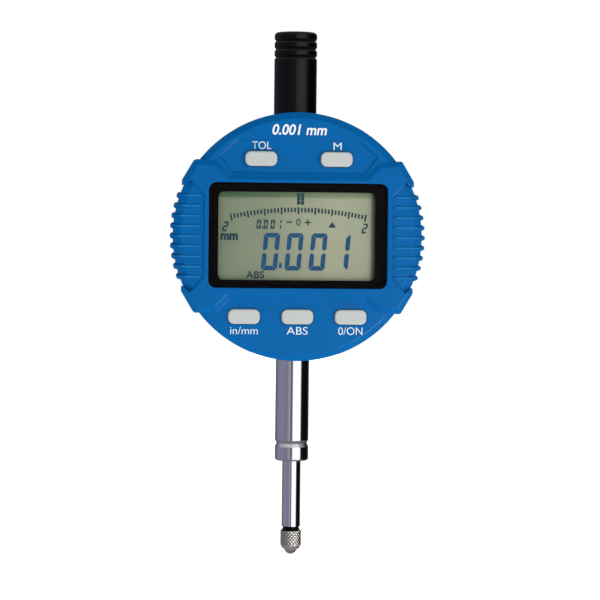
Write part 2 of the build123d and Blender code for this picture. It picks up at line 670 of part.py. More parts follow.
with BuildPart() as reader_screws:
    with BuildSketch(level(READER_Y)):
        with Locations(*READER_POST_SPOTS):
            Circle(1.1)
    extrude(amount=0.6)
    with BuildSketch(level(READER_Y)):
        with Locations(*READER_POST_SPOTS):
            Circle(0.5)
    extrude(amount=-2.8)
    with BuildSketch(level(READER_Y - 0.3)):
        with Locations(*READER_POST_SPOTS):
            Rectangle(1.3, 0.25)
            Rectangle(0.25, 1.3)
    extrude(amount=0.3, mode=Mode.SUBTRACT)

with BuildPart() as reader_chips:
    with BuildSketch(level(READER_Y)):
        with Locations((-6.0, 4.0)):
            Rectangle(5.0, 5.0)
        with Locations((6.0, 3.0)):
            Rectangle(4.0, 3.2)
    extrude(amount=0.7)

with BuildPart() as flex_ribbon:
    with BuildSketch(level(-5.2)):
        Circle(RIBBON_R)
        Circle(RIBBON_R - 0.16, mode=Mode.SUBTRACT)
        Polygon(*wedge(180, RIBBON_GAP_HALF_DEG), align=None, mode=Mode.SUBTRACT)
    extrude(amount=2.2)

# ---- battery with its contacts and leads ----
with BuildPart() as battery:
    with BuildSketch(level(CELL_BACK_Y)):
        with Locations((CELL_X, CELL_UP)):
            Circle(CELL_R)
    extrude(amount=CELL_BACK_Y - CELL_Y - 0.4)
    fillet(battery.edges(), radius=0.35)
    with BuildSketch(level(CELL_Y + 0.5)):
        with Locations((CELL_X, CELL_UP)):
            Circle(CELL_R - 0.9)
    extrude(amount=0.5)

with BuildPart() as battery_contact_negative:
    with BuildSketch(level(CELL_Y - 0.3)):
        with Locations((CELL_X + 0.4, CELL_UP)):
            Rectangle(6.4, 2.6)
    extrude(amount=0.3)
    with BuildSketch(level(CELL_Y)):
        with Locations((CELL_X, CELL_UP)):
            Circle(1.0)
    extrude(amount=0.3)
    with BuildSketch(level(CELL_Y - 0.3)):
        with Locations((CELL_X + 3.4, CELL_UP)):
            Rectangle(0.4, 2.6)
    extrude(amount=3.0)

with BuildPart() as battery_contact_positive:
    with BuildSketch(level(FLOOR_Y - 0.3)):
        with Locations((CELL_X, CELL_UP + CELL_R + 0.15)):
            Rectangle(3.6, 0.3)
    extrude(amount=6.8)

# ---- battery cover with a coin slot, and its seal ----
with BuildPart() as battery_cover:
    with BuildSketch(level(BACK_Y + 0.1)):
        with Locations((CELL_X, CELL_UP)):
            Circle(LID_HEAD_R)
    extrude(amount=0.9)
    with BuildSketch(level(6.7)):
        with Locations((CELL_X, CELL_UP)):
            Circle(LID_BODY_R)
    extrude(amount=1.05)
    with BuildSketch(level(6.5)):
        with Locations((CELL_X, CELL_UP)):
            Circle(LID_HEAD_R)
            Circle(LID_GROOVE_R, mode=Mode.SUBTRACT)
    extrude(amount=0.62, mode=Mode.SUBTRACT)
    with BuildSketch(level(BACK_Y + 0.1)):
        with Locations((CELL_X, CELL_UP)):
            SlotOverall(11.0, 1.6)
    extrude(amount=0.5, mode=Mode.SUBTRACT)

with BuildPart() as battery_seal:
    with BuildSketch(Plane(origin=(CELL_X, 6.2, CASE_Z + CELL_UP), x_dir=(1, 0, 0), z_dir=(0, 0, 1))):
        with Locations((LID_GROOVE_R + SEAL_R + 0.01, 0)):
            Circle(SEAL_R)
    revolve(axis=Axis((CELL_X, 0, CASE_Z + CELL_UP), (0, 1, 0)))

# ---- back cover with its centre lug, and its screws ----
with BuildPart() as back_cover:
    with BuildSketch(level(BACK_Y)):
        Circle(HOUSING_R - 0.3)
    extrude(amount=BACK_Y - HOUSING_BACK_Y)
    chamfer(back_cover.faces().sort_by(Axis.Y)[-1].edges(), length=0.7)
    with BuildSketch(Plane(origin=(-LUG_HALF_X, 0, 0), x_dir=(0, 1, 0), z_dir=(1, 0, 0))):
        with Locations((LUG_HOLE_Y, CASE_Z)):
            Circle(LUG_R)
        Polygon(
            (HOUSING_BACK_Y + 0.5, CASE_Z - LUG_R - 2.0), (BACK_Y, CASE_Z - LUG_R - 2.0),
            (LUG_HOLE_Y, CASE_Z - LUG_R), (LUG_HOLE_Y, CASE_Z + LUG_R),
            (BACK_Y, CASE_Z + LUG_R + 2.0), (HOUSING_BACK_Y + 0.5, CASE_Z + LUG_R + 2.0), align=None,
        )
        with Locations((LUG_HOLE_Y, CASE_Z)):
            Circle(LUG_HOLE_R, mode=Mode.SUBTRACT)
    extrude(amount=2 * LUG_HALF_X)
    with BuildSketch(level(BACK_Y)):
        with Locations((CELL_X, CELL_UP)):
            Circle(LID_HEAD_R + 0.1)
    extrude(amount=BACK_Y - 6.7, mode=Mode.SUBTRACT)
    with BuildSketch(level(BACK_Y)):
        with Locations((CELL_X, CELL_UP)):
            Circle(LID_BODY_R + 0.03)
    extrude(amount=BACK_Y - HOUSING_BACK_Y, mode=Mode.SUBTRACT)
    with Locations(*[Pos(x, BACK_Y, CASE_Z + z) * Rot(-90, 0, 0) for x, z in BACK_SCREW_SPOTS]):
        CounterSinkHole(radius=1.05, counter_sink_radius=2.0, depth=BACK_Y - HOUSING_BACK_Y + 0.2)

with BuildPart() as back_screws:
    with BuildSketch(level(BACK_Y)):
        with Locations(*BACK_SCREW_SPOTS):
            Circle(1.85)
    extrude(amount=1.0, taper=45)
    with BuildSketch(level(BACK_Y - 0.9)):
        with Locations(*BACK_SCREW_SPOTS):
            Circle(0.85)
    extrude(amount=4.8)
    with BuildSketch(level(BACK_Y)):
        with Locations(*BACK_SCREW_SPOTS):
            Rectangle(2.0, 0.4)
            Rectangle(0.4, 2.0)
    extrude(amount=0.6, mode=Mode.SUBTRACT)

# ---- data socket in the side of the housing and its rubber plug ----
with BuildPart() as data_socket:
    with BuildSketch(Plane(origin=(-20.4, 0, CASE_Z), x_dir=(0, -1, 0), z_dir=(-1, 0, 0))):
        Rectangle(4.0, 10.0)
    extrude(amount=3.3)
    with BuildSketch(Plane(origin=(-23.7, 0, CASE_Z), x_dir=(0, -1, 0), z_dir=(-1, 0, 0))):
        Rectangle(3.0, 8.6)
        Rectangle(1.0, 7.0, mode=Mode.SUBTRACT)
    extrude(amount=-2.4, mode=Mode.SUBTRACT)

with BuildPart() as port_plug:
    with BuildSketch(Plane(origin=(-24.2, 0, CASE_Z), x_dir=(0, -1, 0), z_dir=(-1, 0, 0))):
        RectangleRounded(6.2, 12.4, 1.2)
    extrude(amount=1.2)
    fillet(port_plug.faces().sort_by(Axis.X)[0].edges(), radius=0.5)
    with BuildSketch(Plane(origin=(-24.2, 0, CASE_Z), x_dir=(0, -1, 0), z_dir=(-1, 0, 0))):
        Rectangle(3.9, 9.9)
    extrude(amount=-0.45)

# ---- write every piece ----
pieces = {
    "front_cover": front_cover,
    "window_lens": window_lens,
    "window_mask": window_mask,
    "lcd_panel": lcd_panel,
    "lcd_holder": lcd_holder,
    "zebra_strips": zebra_strips,
    "main_board": main_board,
    "board_chips": board_chips,
    "tact_switches": tact_switches,
    "board_screws": board_screws,
    "face_ring": face_ring,
    "face_o_ring": face_o_ring,
    "rear_housing": rear_housing,
    "stem": stem,
    "lower_bush": lower_bush,
    "upper_guide": upper_guide,
    "upper_bush": upper_bush,
    "spindle": spindle,
    "contact_point": contact_point,
    "contact_ball": contact_ball,
    "top_cap": top_cap,
    "scale_carrier": scale_carrier,
    "carrier_screws": carrier_screws,
    "scale_strip": scale_strip,
    "guide_pin": guide_pin,
    "guide_rail": guide_rail,
    "spring_post_fixed": spring_post_fixed,
    "spring_post_moving": spring_post_moving,
    "return_spring": return_spring,
    "stop_bumper": stop_bumper,
    "reader_board": reader_board,
    "reader_screws": reader_screws,
    "reader_chips": reader_chips,
    "flex_ribbon": flex_ribbon,
    "battery": battery,
    "battery_contact_negative": battery_contact_negative,
    "battery_contact_positive": battery_contact_positive,
    "battery_cover": battery_cover,
    "battery_seal": battery_seal,
    "back_cover": back_cover,
    "back_screws": back_screws,
    "data_socket": data_socket,
    "port_plug": port_plug,
}
pieces.update(buttons)

os.makedirs("parts", exist_ok=True)
for label, piece in pieces.items():
    piece.part.label = label
    export_step(piece.part, f"parts/{label}.step")
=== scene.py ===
import json
import math

import bmesh
import bpy
from mathutils import Matrix, Vector


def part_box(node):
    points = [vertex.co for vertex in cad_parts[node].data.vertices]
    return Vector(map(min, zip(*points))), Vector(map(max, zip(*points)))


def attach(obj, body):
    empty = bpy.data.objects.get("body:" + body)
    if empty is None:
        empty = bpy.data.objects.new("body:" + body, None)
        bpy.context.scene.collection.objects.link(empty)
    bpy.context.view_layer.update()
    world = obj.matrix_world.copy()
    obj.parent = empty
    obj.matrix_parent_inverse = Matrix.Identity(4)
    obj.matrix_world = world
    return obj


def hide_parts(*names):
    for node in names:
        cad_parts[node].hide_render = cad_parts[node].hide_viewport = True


MM = 0.001

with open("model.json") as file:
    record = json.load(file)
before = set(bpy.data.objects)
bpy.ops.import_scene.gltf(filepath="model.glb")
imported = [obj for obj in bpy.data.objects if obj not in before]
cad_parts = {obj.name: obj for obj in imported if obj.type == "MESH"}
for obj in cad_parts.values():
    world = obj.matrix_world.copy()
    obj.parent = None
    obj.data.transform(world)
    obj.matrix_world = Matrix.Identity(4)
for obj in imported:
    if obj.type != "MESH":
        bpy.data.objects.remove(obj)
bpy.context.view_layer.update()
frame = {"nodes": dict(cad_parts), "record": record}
nodes = frame["nodes"]


# ---------------------------------------------------------------- materials
def display(red, green, blue):
    """A colour as seen on a screen, 0 to 255, turned into the linear values the shader wants."""
    linear = []
    for value in (red, green, blue):
        share = value / 255
        linear.append(share / 12.92 if share <= 0.04045 else ((share + 0.055) / 1.055) ** 2.4)
    return (*linear, 1.0)


def shade(colour, factor):
    """The same colour, darker or lighter."""
    return (*[min(1.0, channel * factor) for channel in colour[:3]], 1.0)


def feed(tree, source, target):
    """Feeds a node's input, from another node's output or with a plain value."""
    if isinstance(source, bpy.types.NodeSocket):
        tree.links.new(source, target)
    else:
        target.default_value = source


def fade(tree, value, start, end, low=0.0, high=1.0, easing="LINEAR"):
    """Goes from low to high while value goes from start to end, and stays there beyond them."""
    node = tree.nodes.new("ShaderNodeMapRange")
    node.interpolation_type = easing
    feed(tree, value, node.inputs["Value"])
    feed(tree, start, node.inputs["From Min"])
    feed(tree, end, node.inputs["From Max"])
    feed(tree, low, node.inputs["To Min"])
    feed(tree, high, node.inputs["To Max"])
    return node.outputs["Result"]


def calculate(tree, operation, *values):
    """One step of arithmetic on outputs or plain numbers."""
    node = tree.nodes.new("ShaderNodeMath")
    node.operation = operation
    for value, socket in zip(values, node.inputs):
        feed(tree, value, socket)
    return node.outputs[0]


def mix_colours(tree, factor, first, second, blend_type="MIX"):
    """A blend from the first colour to the second."""
    node = tree.nodes.new("ShaderNodeMix")
    node.data_type = "RGBA"
    node.blend_type = blend_type
    feed(tree, factor, node.inputs["Factor"])
    feed(tree, first, node.inputs["A"])
    feed(tree, second, node.inputs["B"])
    return node.outputs["Result"]


def split_place(tree, kind):
    """The three coordinates of the point being shaded, of the given kind."""
    coords = tree.nodes.new("ShaderNodeTexCoord")
    split = tree.nodes.new("ShaderNodeSeparateXYZ")
    tree.links.new(coords.outputs[kind], split.inputs["Vector"])
    return split.outputs


def surface(name, colour, roughness, metallic=0.0, grain_mm=0.25, grain=0.08, blotch_mm=9.0, blotch=0.06,
            rough_spread=0.08, specular=0.5, stretch=(1, 1, 1), alpha=1.0, edge_mm=0.0):
    """A procedural material: fine grain in the bump, broad blotches in the colour, and uneven roughness.
    edge_mm rounds the shading of sharp edges by that radius."""
    material = bpy.data.materials.new(name)
    material.use_nodes = True
    tree = material.node_tree
    shader = tree.nodes["Principled BSDF"]
    coords = tree.nodes.new("ShaderNodeTexCoord")
    mapping = tree.nodes.new("ShaderNodeMapping")
    mapping.inputs["Scale"].default_value = stretch
    tree.links.new(coords.outputs["Object"], mapping.inputs["Vector"])

    broad = tree.nodes.new("ShaderNodeTexNoise")
    broad.inputs["Scale"].default_value = 1 / (blotch_mm * MM)
    broad.inputs["Detail"].default_value = 4
    tree.links.new(coords.outputs["Object"], broad.inputs["Vector"])
    ramp = tree.nodes.new("ShaderNodeValToRGB")
    ramp.color_ramp.elements[0].position = 0.3
    ramp.color_ramp.elements[1].position = 0.7
    ramp.color_ramp.elements[0].color = shade(colour, 1 - blotch)
    ramp.color_ramp.elements[1].color = shade(colour, 1 + blotch)
    tree.links.new(broad.outputs["Fac"], ramp.inputs["Fac"])
    tree.links.new(ramp.outputs["Color"], shader.inputs["Base Color"])

    fine = tree.nodes.new("ShaderNodeTexNoise")
    fine.inputs["Scale"].default_value = 1 / (grain_mm * MM)
    fine.inputs["Detail"].default_value = 3
    tree.links.new(mapping.outputs["Vector"], fine.inputs["Vector"])
    smoothest, roughest = max(0.02, roughness - rough_spread), min(1.0, roughness + rough_spread)
    spread = fade(tree, fine.outputs["Fac"], 0.0, 1.0, smoothest, roughest)
    tree.links.new(spread, shader.inputs["Roughness"])
    bump = tree.nodes.new("ShaderNodeBump")
    bump.inputs["Strength"].default_value = grain
    bump.inputs["Distance"].default_value = 0.1 * MM
    tree.links.new(fine.outputs["Fac"], bump.inputs["Height"])
    tree.links.new(bump.outputs["Normal"], shader.inputs["Normal"])

    shader.inputs["Metallic"].default_value = metallic
    shader.inputs["Specular IOR Level"].default_value = specular
    shader.inputs["Alpha"].default_value = alpha
    if edge_mm:
        rounded = tree.nodes.new("ShaderNodeBevel")
        rounded.samples = 6
        rounded.inputs["Radius"].default_value = edge_mm * MM
        tree.links.new(rounded.outputs["Normal"], bump.inputs["Normal"])
    return material


# stretch of the grain of ground pieces along their length
ALONG_Z = (1, 1, 12)

looks = {
    "cover_blue": surface("cover_blue", display(0, 99, 168), 0.3, specular=0.045, grain_mm=0.2, grain=0.10,
                          blotch=0.04, edge_mm=0.3),
    "housing_plastic": surface("housing_plastic", display(38, 40, 43), 0.5, grain_mm=0.18, grain=0.25,
                               specular=0.4),
    "lens": surface("lens", display(10, 10, 10), 0.03, grain=0.0, rough_spread=0.01, alpha=0.07,
                    specular=0.15),
    "mask": surface("mask", display(9, 5, 5), 0.3, grain=0.05, specular=0.03),
    "holder": surface("holder", display(200, 200, 196), 0.5),
    "zebra": surface("zebra", display(40, 40, 42), 0.7),
    "board": surface("board", display(20, 92, 56), 0.4, blotch_mm=2.0, blotch=0.2),
    "chip": surface("chip", display(24, 24, 25), 0.55),
    "switch": surface("switch", display(60, 60, 60), 0.5),
    "small_screw": surface("small_screw", display(175, 175, 178), 0.3, metallic=1.0, grain=0.1),
    "button": surface("button", display(192, 197, 195), 0.42, grain_mm=0.15, grain=0.08, blotch=0.02,
                      specular=0.4),
    "ring": surface("ring", display(30, 30, 32), 0.5, grain=0.2),
    "seal": surface("seal", display(26, 26, 27), 0.65, grain=0.2),
    "stem_chrome": surface("stem_chrome", display(232, 231, 236), 0.05, metallic=1.0, grain_mm=0.1,
                           grain=0.02, blotch=0.03, rough_spread=0.025, stretch=ALONG_Z),
    "bush": surface("bush", display(200, 160, 90), 0.3, metallic=1.0),
    "guide_steel": surface("guide_steel", display(170, 170, 174), 0.3, metallic=1.0),
    "spindle_steel": surface("spindle_steel", display(234, 232, 238), 0.06, metallic=1.0, grain_mm=0.1,
                             grain=0.02, blotch=0.03, rough_spread=0.025, stretch=ALONG_Z),
    "contact_steel": surface("contact_steel", display(255, 246, 238), 0.22, metallic=1.0, grain_mm=0.12,
                             grain=0.06, blotch_mm=1.5, blotch=0.08),
    "carbide": surface("carbide", display(215, 208, 203), 0.1, metallic=1.0, grain=0.02),
    "cap_black": surface("cap_black", display(2, 2, 2), 0.3, grain_mm=0.2, grain=0.08, specular=0.26),
    "carrier": surface("carrier", display(190, 190, 194), 0.4, metallic=1.0),
    "scale": surface("scale", display(190, 140, 70), 0.3, metallic=0.6),
    "spring": surface("spring", display(150, 150, 154), 0.3, metallic=1.0),
    "ribbon": surface("ribbon", display(190, 120, 50), 0.35),
    "cell": surface("cell", display(215, 215, 218), 0.22, metallic=1.0),
    "contact_strip": surface("contact_strip", display(205, 185, 130), 0.3, metallic=1.0),
    "lug_metal": surface("lug_metal", display(58, 60, 64), 0.48, metallic=0.6, grain_mm=0.3, grain=0.3),
    "socket": surface("socket", display(24, 24, 25), 0.5),
    "print_white": surface("print_white", display(240, 242, 243), 0.55, grain=0.05, blotch=0.02),
    "segment_blue": surface("segment_blue", display(0, 82, 128), 0.5, grain=0.02, blotch_mm=2.0,
                            blotch=0.12),
    "segment_dark": surface("segment_dark", display(8, 60, 70), 0.5, grain=0.02, blotch_mm=2.0,
                            blotch=0.12),
}


def lcd_look():
    """Grey-green liquid crystal panel, lighter to the right, with a painted soft shadow of the window mask
    along its top and right.
    """
    material = surface("lcd", display(180, 185, 157), 0.45, grain_mm=0.3, grain=0.02, specular=0.3)
    tree = material.node_tree
    shader = tree.nodes["Principled BSDF"]
    base = shader.inputs["Base Color"].links[0].from_socket
    mask_low, mask_high = view_window()
    place = split_place(tree, "Object")

    def band(axis, dark_end, light_end, dark, light):
        """A tint that goes from dark to light along one axis."""
        share = fade(tree, place[axis], dark_end, light_end, easing="SMOOTHSTEP")
        return mix_colours(tree, share, dark, light)

    white = (1, 1, 1, 1)
    dim_left = (0.55, 0.63, 0.60, 1)
    # painted shadow of the window mask on the panel: darker at its left end, lighter to the right, and a
    # darker band along the right edge
    shadow_left = (0.34, 0.55, 0.40, 1)
    shadow_right = (0.60, 0.70, 0.62, 1)
    right_shadow_tint = (0.16, 0.24, 0.18, 1)
    full_light = mask_low.x + 0.8 * (mask_high.x - mask_low.x)
    top_dark, top_clear = mask_high.z - 0.9 * MM, mask_high.z - 1.7 * MM
    right_dark, right_clear = mask_high.x - 0.1 * MM, mask_high.x - 1.3 * MM
    across = band("X", mask_low.x, full_light, dim_left, white)
    shadow = band("X", mask_low.x, mask_high.x, shadow_left, shadow_right)
    # painted shadow: the band under the mask's top edge and the band beside its right edge
    top = band("Z", top_dark, top_clear, shadow, white)
    right = band("X", right_dark, right_clear, right_shadow_tint, white)
    for tint in (across, top, right):
        base = mix_colours(tree, 1.0, base, tint, "MULTIPLY")
    tree.links.new(base, shader.inputs["Base Color"])
    return material


def view_window():
    """Lowest and highest corner of the clear part of the window."""
    low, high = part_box("window_mask")
    rim = 1.0 * MM
    inner = [v.co for v in nodes["window_mask"].data.vertices
             if low.x + rim < v.co.x < high.x - rim and low.z + rim < v.co.z < high.z - rim]
    return (Vector((min(v.x for v in inner), low.y, min(v.z for v in inner))),
            Vector((max(v.x for v in inner), high.y, max(v.z for v in inner))))


def paint_ridge_highlights(material):
    """Paints a highlight on the front ridges of the grip ribs: a lighter blue tint on their crests, where
    light would catch them.
    """
    low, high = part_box("front_cover")
    middle = (low + high) / 2
    tree = material.node_tree
    shader = tree.nodes["Principled BSDF"]
    base = shader.inputs["Base Color"].links[0].from_socket
    place = split_place(tree, "Object")
    grip_start, grip_full = 22.4 * MM, 23.2 * MM
    bay_end, bay_full = 10.6 * MM, 10.2 * MM
    crest_start, crest_full = -low.y - 0.26 * MM, -low.y - 0.08 * MM
    # each fade: axis, where distances are counted from, distance with no tint, distance with full tint
    fades = (("X", middle.x, grip_start, grip_full), ("Z", middle.z, bay_end, bay_full),
             ("Y", 0.0, crest_start, crest_full))
    strength = 1.0
    for axis, centre, start, full in fades:
        distance = calculate(tree, "ABSOLUTE", calculate(tree, "SUBTRACT", place[axis], centre))
        strength = calculate(tree, "MULTIPLY", strength, fade(tree, distance, start, full))
    # painted highlight: the rib crests are tinted lighter than the rest of the cover
    ridge_highlight_colour = mix_colours(tree, strength, base, display(34, 126, 188))
    tree.links.new(ridge_highlight_colour, shader.inputs["Base Color"])


looks["lcd"] = lcd_look()
paint_ridge_highlights(looks["cover_blue"])

for part in frame["record"]["subparts"]:
    node = nodes[part["node"]]
    node.data.materials.clear()
    node.data.materials.append(looks[part["material_slot"]])


# ---------------------------------------------------------------- softened CAD edges
WELD_REACH = 0.002 * MM
SOFT_SEGMENTS = 2
SHARP_ANGLE = math.radians(32)


def soften(name, width_mm):
    """Rounds the sharp edges of a CAD node without touching its mesh."""
    node = nodes[name]
    weld = node.modifiers.new("weld", "WELD")
    weld.merge_threshold = WELD_REACH
    bevel = node.modifiers.new("bevel", "BEVEL")
    bevel.width = width_mm * MM
    bevel.segments = SOFT_SEGMENTS
    bevel.limit_method = "ANGLE"
    bevel.angle_limit = SHARP_ANGLE
    bevel.harden_normals = True
    bevel.use_clamp_overlap = True


# ---------------------------------------------------------------- new pieces
def add_piece(name, mesh, body, look):
    """A finished mesh as an object that rides on a CAD body."""
    piece = bpy.data.objects.new(name, mesh)
    bpy.context.scene.collection.objects.link(piece)
    mesh.materials.clear()
    mesh.materials.append(looks[look])
    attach(piece, body)
    return piece


def finished(name, made):
    """The mesh of a bmesh, which is freed."""
    mesh = bpy.data.meshes.new(name)
    made.to_mesh(mesh)
    made.free()
    return mesh


def plate_mesh(name, outlines, front_y, depth):
    """Flat shapes given as (x, z) outlines in metres, as thin plates whose front is at front_y."""
    made = bmesh.new()
    for outline in outlines:
        front = [made.verts.new((x, front_y, z)) for x, z in outline]
        back = [made.verts.new((x, front_y + depth, z)) for x, z in outline]
        made.faces.new(front)
        made.faces.new(reversed(back))
        for i in range(len(outline)):
            j = (i + 1) % len(outline)
            made.faces.new((front[i], back[i], back[j], front[j]))
    bmesh.ops.recalc_face_normals(made, faces=made.faces)
    return finished(name, made)


# height of a capital as a share of the font's size
CAPITAL_SHARE = 0.7


def text_mesh(name, words, height, centre_x, centre_z, front_y, width, weight=0.0, slant=0.0):
    """Plain lettering as a flat mesh facing the front, stretched to its width and centred on a point. Its
    capitals are about height tall. weight thickens the strokes, as a share of the font's size."""
    curve = bpy.data.curves.new(name, "FONT")
    curve.body = words
    curve.size = height / CAPITAL_SHARE
    curve.shear = slant
    curve.offset = weight * curve.size
    curve.fill_mode = "FRONT"
    holder = bpy.data.objects.new(name + ".text", curve)
    bpy.context.scene.collection.objects.link(holder)
    bpy.context.view_layer.update()
    mesh = bpy.data.meshes.new_from_object(holder.evaluated_get(bpy.context.evaluated_depsgraph_get()))
    bpy.data.objects.remove(holder)
    mesh.name = name
    xs = [v.co.x for v in mesh.vertices]
    ys = [v.co.y for v in mesh.vertices]
    stretch = width / (max(xs) - min(xs))
    middle = Vector(((max(xs) + min(xs)) / 2, (max(ys) + min(ys)) / 2, 0))
    place = (Matrix.Translation((centre_x, front_y, centre_z)) @ Matrix.Diagonal((stretch, 1, 1, 1))
             @ Matrix.Rotation(math.pi / 2, 4, "X") @ Matrix.Translation(-middle))
    mesh.transform(place)
    return mesh


# ---------------------------------------------------------------- display contents
window_low, window_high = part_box("window_lens")
window = (window_low + window_high) / 2
lcd_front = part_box("lcd_panel")[0].y
DISPLAY_MIDDLE_X = window.x + 0.2 * MM
INK_Y = lcd_front - 0.03 * MM
INK_DEPTH = 0.02 * MM


def at(x, z):
    """A point of the display, in millimetres from its middle, in the frame's metres."""
    return DISPLAY_MIDDLE_X + x * MM, window.z + z * MM


def digit_bars(lit, centre_x, low_z, width, tall, stroke, slant_deg, gap, chamfer=0.0, split=0.0):
    """Outlines of the lit bars of one seven-bar digit. lit uses the letters a to g: a at the top, b to f
    clockwise from it, g in the middle."""
    w, h, s, c = width / 2, tall / 2, stroke, chamfer
    side = [(w - c / 2, h - c / 2), (w, h - c), (w, 0.3 * s + split), (w - s / 2, split),
            (w - s, s / 2 + split), (w - s, h - s)]
    cap = [(-w + c, h), (w - c, h), (w - c / 2, h - c / 2), (w - s, h - s), (-w + s, h - s),
           (-w + c / 2, h - c / 2)]
    middle = [(-w + s / 2, 0.0), (-w + s, s / 2), (w - s, s / 2), (w - s / 2, 0.0), (w - s, -s / 2),
              (-w + s, -s / 2)]
    spans = {
        "a": cap,
        "b": side,
        "c": [(x, -z) for x, z in side],
        "d": [(x, -z) for x, z in cap],
        "e": [(-x, -z) for x, z in side],
        "f": [(-x, z) for x, z in side],
        "g": middle,
    }
    lean = math.tan(math.radians(slant_deg))
    outlines = []
    for letter in lit:
        corners = spans[letter]
        mid_x = sum(x for x, z in corners) / len(corners)
        mid_z = sum(z for x, z in corners) / len(corners)
        half_x = max(abs(x - mid_x) for x, z in corners)
        half_z = max(abs(z - mid_z) for x, z in corners)
        keep_x, keep_z = 1 - gap / half_x, 1 - gap / half_z
        shrunk = [(mid_x + (x - mid_x) * keep_x, mid_z + (z - mid_z) * keep_z) for x, z in corners]
        outlines.append([at(centre_x + x + z * lean, low_z + h + z) for x, z in shrunk])
    return outlines


def box_outline(low_x, low_z, high_x, high_z):
    """A rectangle of the display, in millimetres from its middle."""
    return [at(low_x, low_z), at(high_x, low_z), at(high_x, high_z), at(low_x, high_z)]


ZERO = "abcdef"
ONE = "bc"
TWO = "abged"
BIG_DIGIT = {"low_z": -8.18, "width": 3.85, "tall": 8.78, "stroke": 1.15, "slant_deg": 5.0, "gap": 0.05,
             "chamfer": 0.55, "split": 0.2}
SMALL_DIGIT = {"low_z": 1.5, "width": 1.02, "tall": 2.12, "stroke": 0.4, "slant_deg": 5.0, "gap": 0.02}
LEFT_END_DIGIT = {"low_z": 0.85, "width": 1.35, "tall": 2.3, "stroke": 0.44, "slant_deg": 8.0, "gap": 0.01}
RIGHT_END_DIGIT = {"low_z": 0.65, "width": 1.25, "tall": 2.3, "stroke": 0.4, "slant_deg": 8.0, "gap": 0.01}

# the large reading and its decimal point
big = []
for lit, centre in ((ZERO, -6.5), (ZERO, -1.0), (ZERO, 4.6), (ONE, 10.05)):
    big += digit_bars(lit, centre, **BIG_DIGIT)
big.append(box_outline(-4.52, -7.6, -3.86, -6.4))
add_piece("reading", plate_mesh("reading", big, INK_Y, INK_DEPTH), "face", "segment_blue")

# the small reading: three zeros, the decimal point and the two halves of a one
small = []
for centre in (-9.3, -7.68, -6.05):
    small += digit_bars(ZERO, centre, **SMALL_DIGIT)
small.append(box_outline(-8.64, 1.55, -8.34, 1.95))
small.append(box_outline(-4.3, 2.85, -4.0, 3.6))
small.append(box_outline(-4.36, 1.6, -4.06, 2.4))
# a two at either end of the arc scale
small += digit_bars(TWO, -17.1, **LEFT_END_DIGIT)
small += digit_bars(TWO, 15.5, **RIGHT_END_DIGIT)
# pointer: two bars, each in three short pieces
BAR_HALF = 0.37
for bar_x in (-0.07, 0.84):
    for low_z, high_z in ((7.2, 8.1), (8.15, 8.95), (9.0, 9.85)):
        small.append(box_outline(bar_x - BAR_HALF, low_z, bar_x + BAR_HALF, high_z))
# arc scale, with every fifth tick long
ARC_RADIUS = 77.0
ARC_TOP = 6.6
ARC_MIDDLE_X = -0.07
TICK_PITCH = 0.798
TICKS_PER_SIDE = 20
LONG_EVERY = 5
for tick in range(-TICKS_PER_SIDE, TICKS_PER_SIDE + 1):
    angle = tick * TICK_PITCH / ARC_RADIUS
    long, drop, half = (1.6, 0.0, 0.2) if tick % LONG_EVERY == 0 else (1.05, 0.12, 0.21)
    side = Vector((math.cos(angle), -math.sin(angle)))
    up = Vector((math.sin(angle), math.cos(angle)))
    top = Vector((ARC_MIDDLE_X, ARC_TOP - ARC_RADIUS)) + up * (ARC_RADIUS - drop)
    foot = top - up * long
    corners = [top - side * half, top + side * half, foot + side * half, foot - side * half]
    small.append([at(*corner) for corner in corners])
# minus, plus and triangle
small.append(box_outline(-2.84, 2.95, -1.44, 3.27))
small.append(box_outline(1.4, 2.91, 2.85, 3.23))
small.append(box_outline(1.96, 3.23, 2.28, 3.8))
small.append(box_outline(1.96, 2.34, 2.28, 2.91))
small.append([at(6.95, 1.95), at(8.8, 1.95), at(7.88, 3.25)])
add_piece("display_marks", plate_mesh("display_marks", small, INK_Y, INK_DEPTH), "face", "segment_dark")

# each word: piece, words, height, place, width, weight
display_words = [
    ("unit_mm", "mm", 1.95, (-16.17, -0.4), 4.05, 0.05),
    ("abs_mark", "ABS", 1.58, (-10.06, -9.2), 4.3, 0.022),
    ("centre_zero", "0", 1.6, (-0.07, 3.12), 1.02, 0.01),
]
for name, words, tall, (x, z), wide, weight in display_words:
    centre_x, centre_z = at(x, z)
    mesh = text_mesh(name, words, tall * MM, centre_x, centre_z, INK_Y, wide * MM, weight=weight)
    add_piece(name, mesh, "face", "segment_dark")


# ---------------------------------------------------------------- printed legends
case = (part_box("face_ring")[0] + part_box("face_ring")[1]) / 2
BUTTON_RISE = 0.75 * MM
PANEL_DEPTH = 0.3 * MM
PRINT_LIFT = 0.015 * MM
KEY_TALL = 1.8
KEY_WEIGHT = -0.006
field_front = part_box("button_abs")[0].y + BUTTON_RISE
panel_front = field_front + PANEL_DEPTH
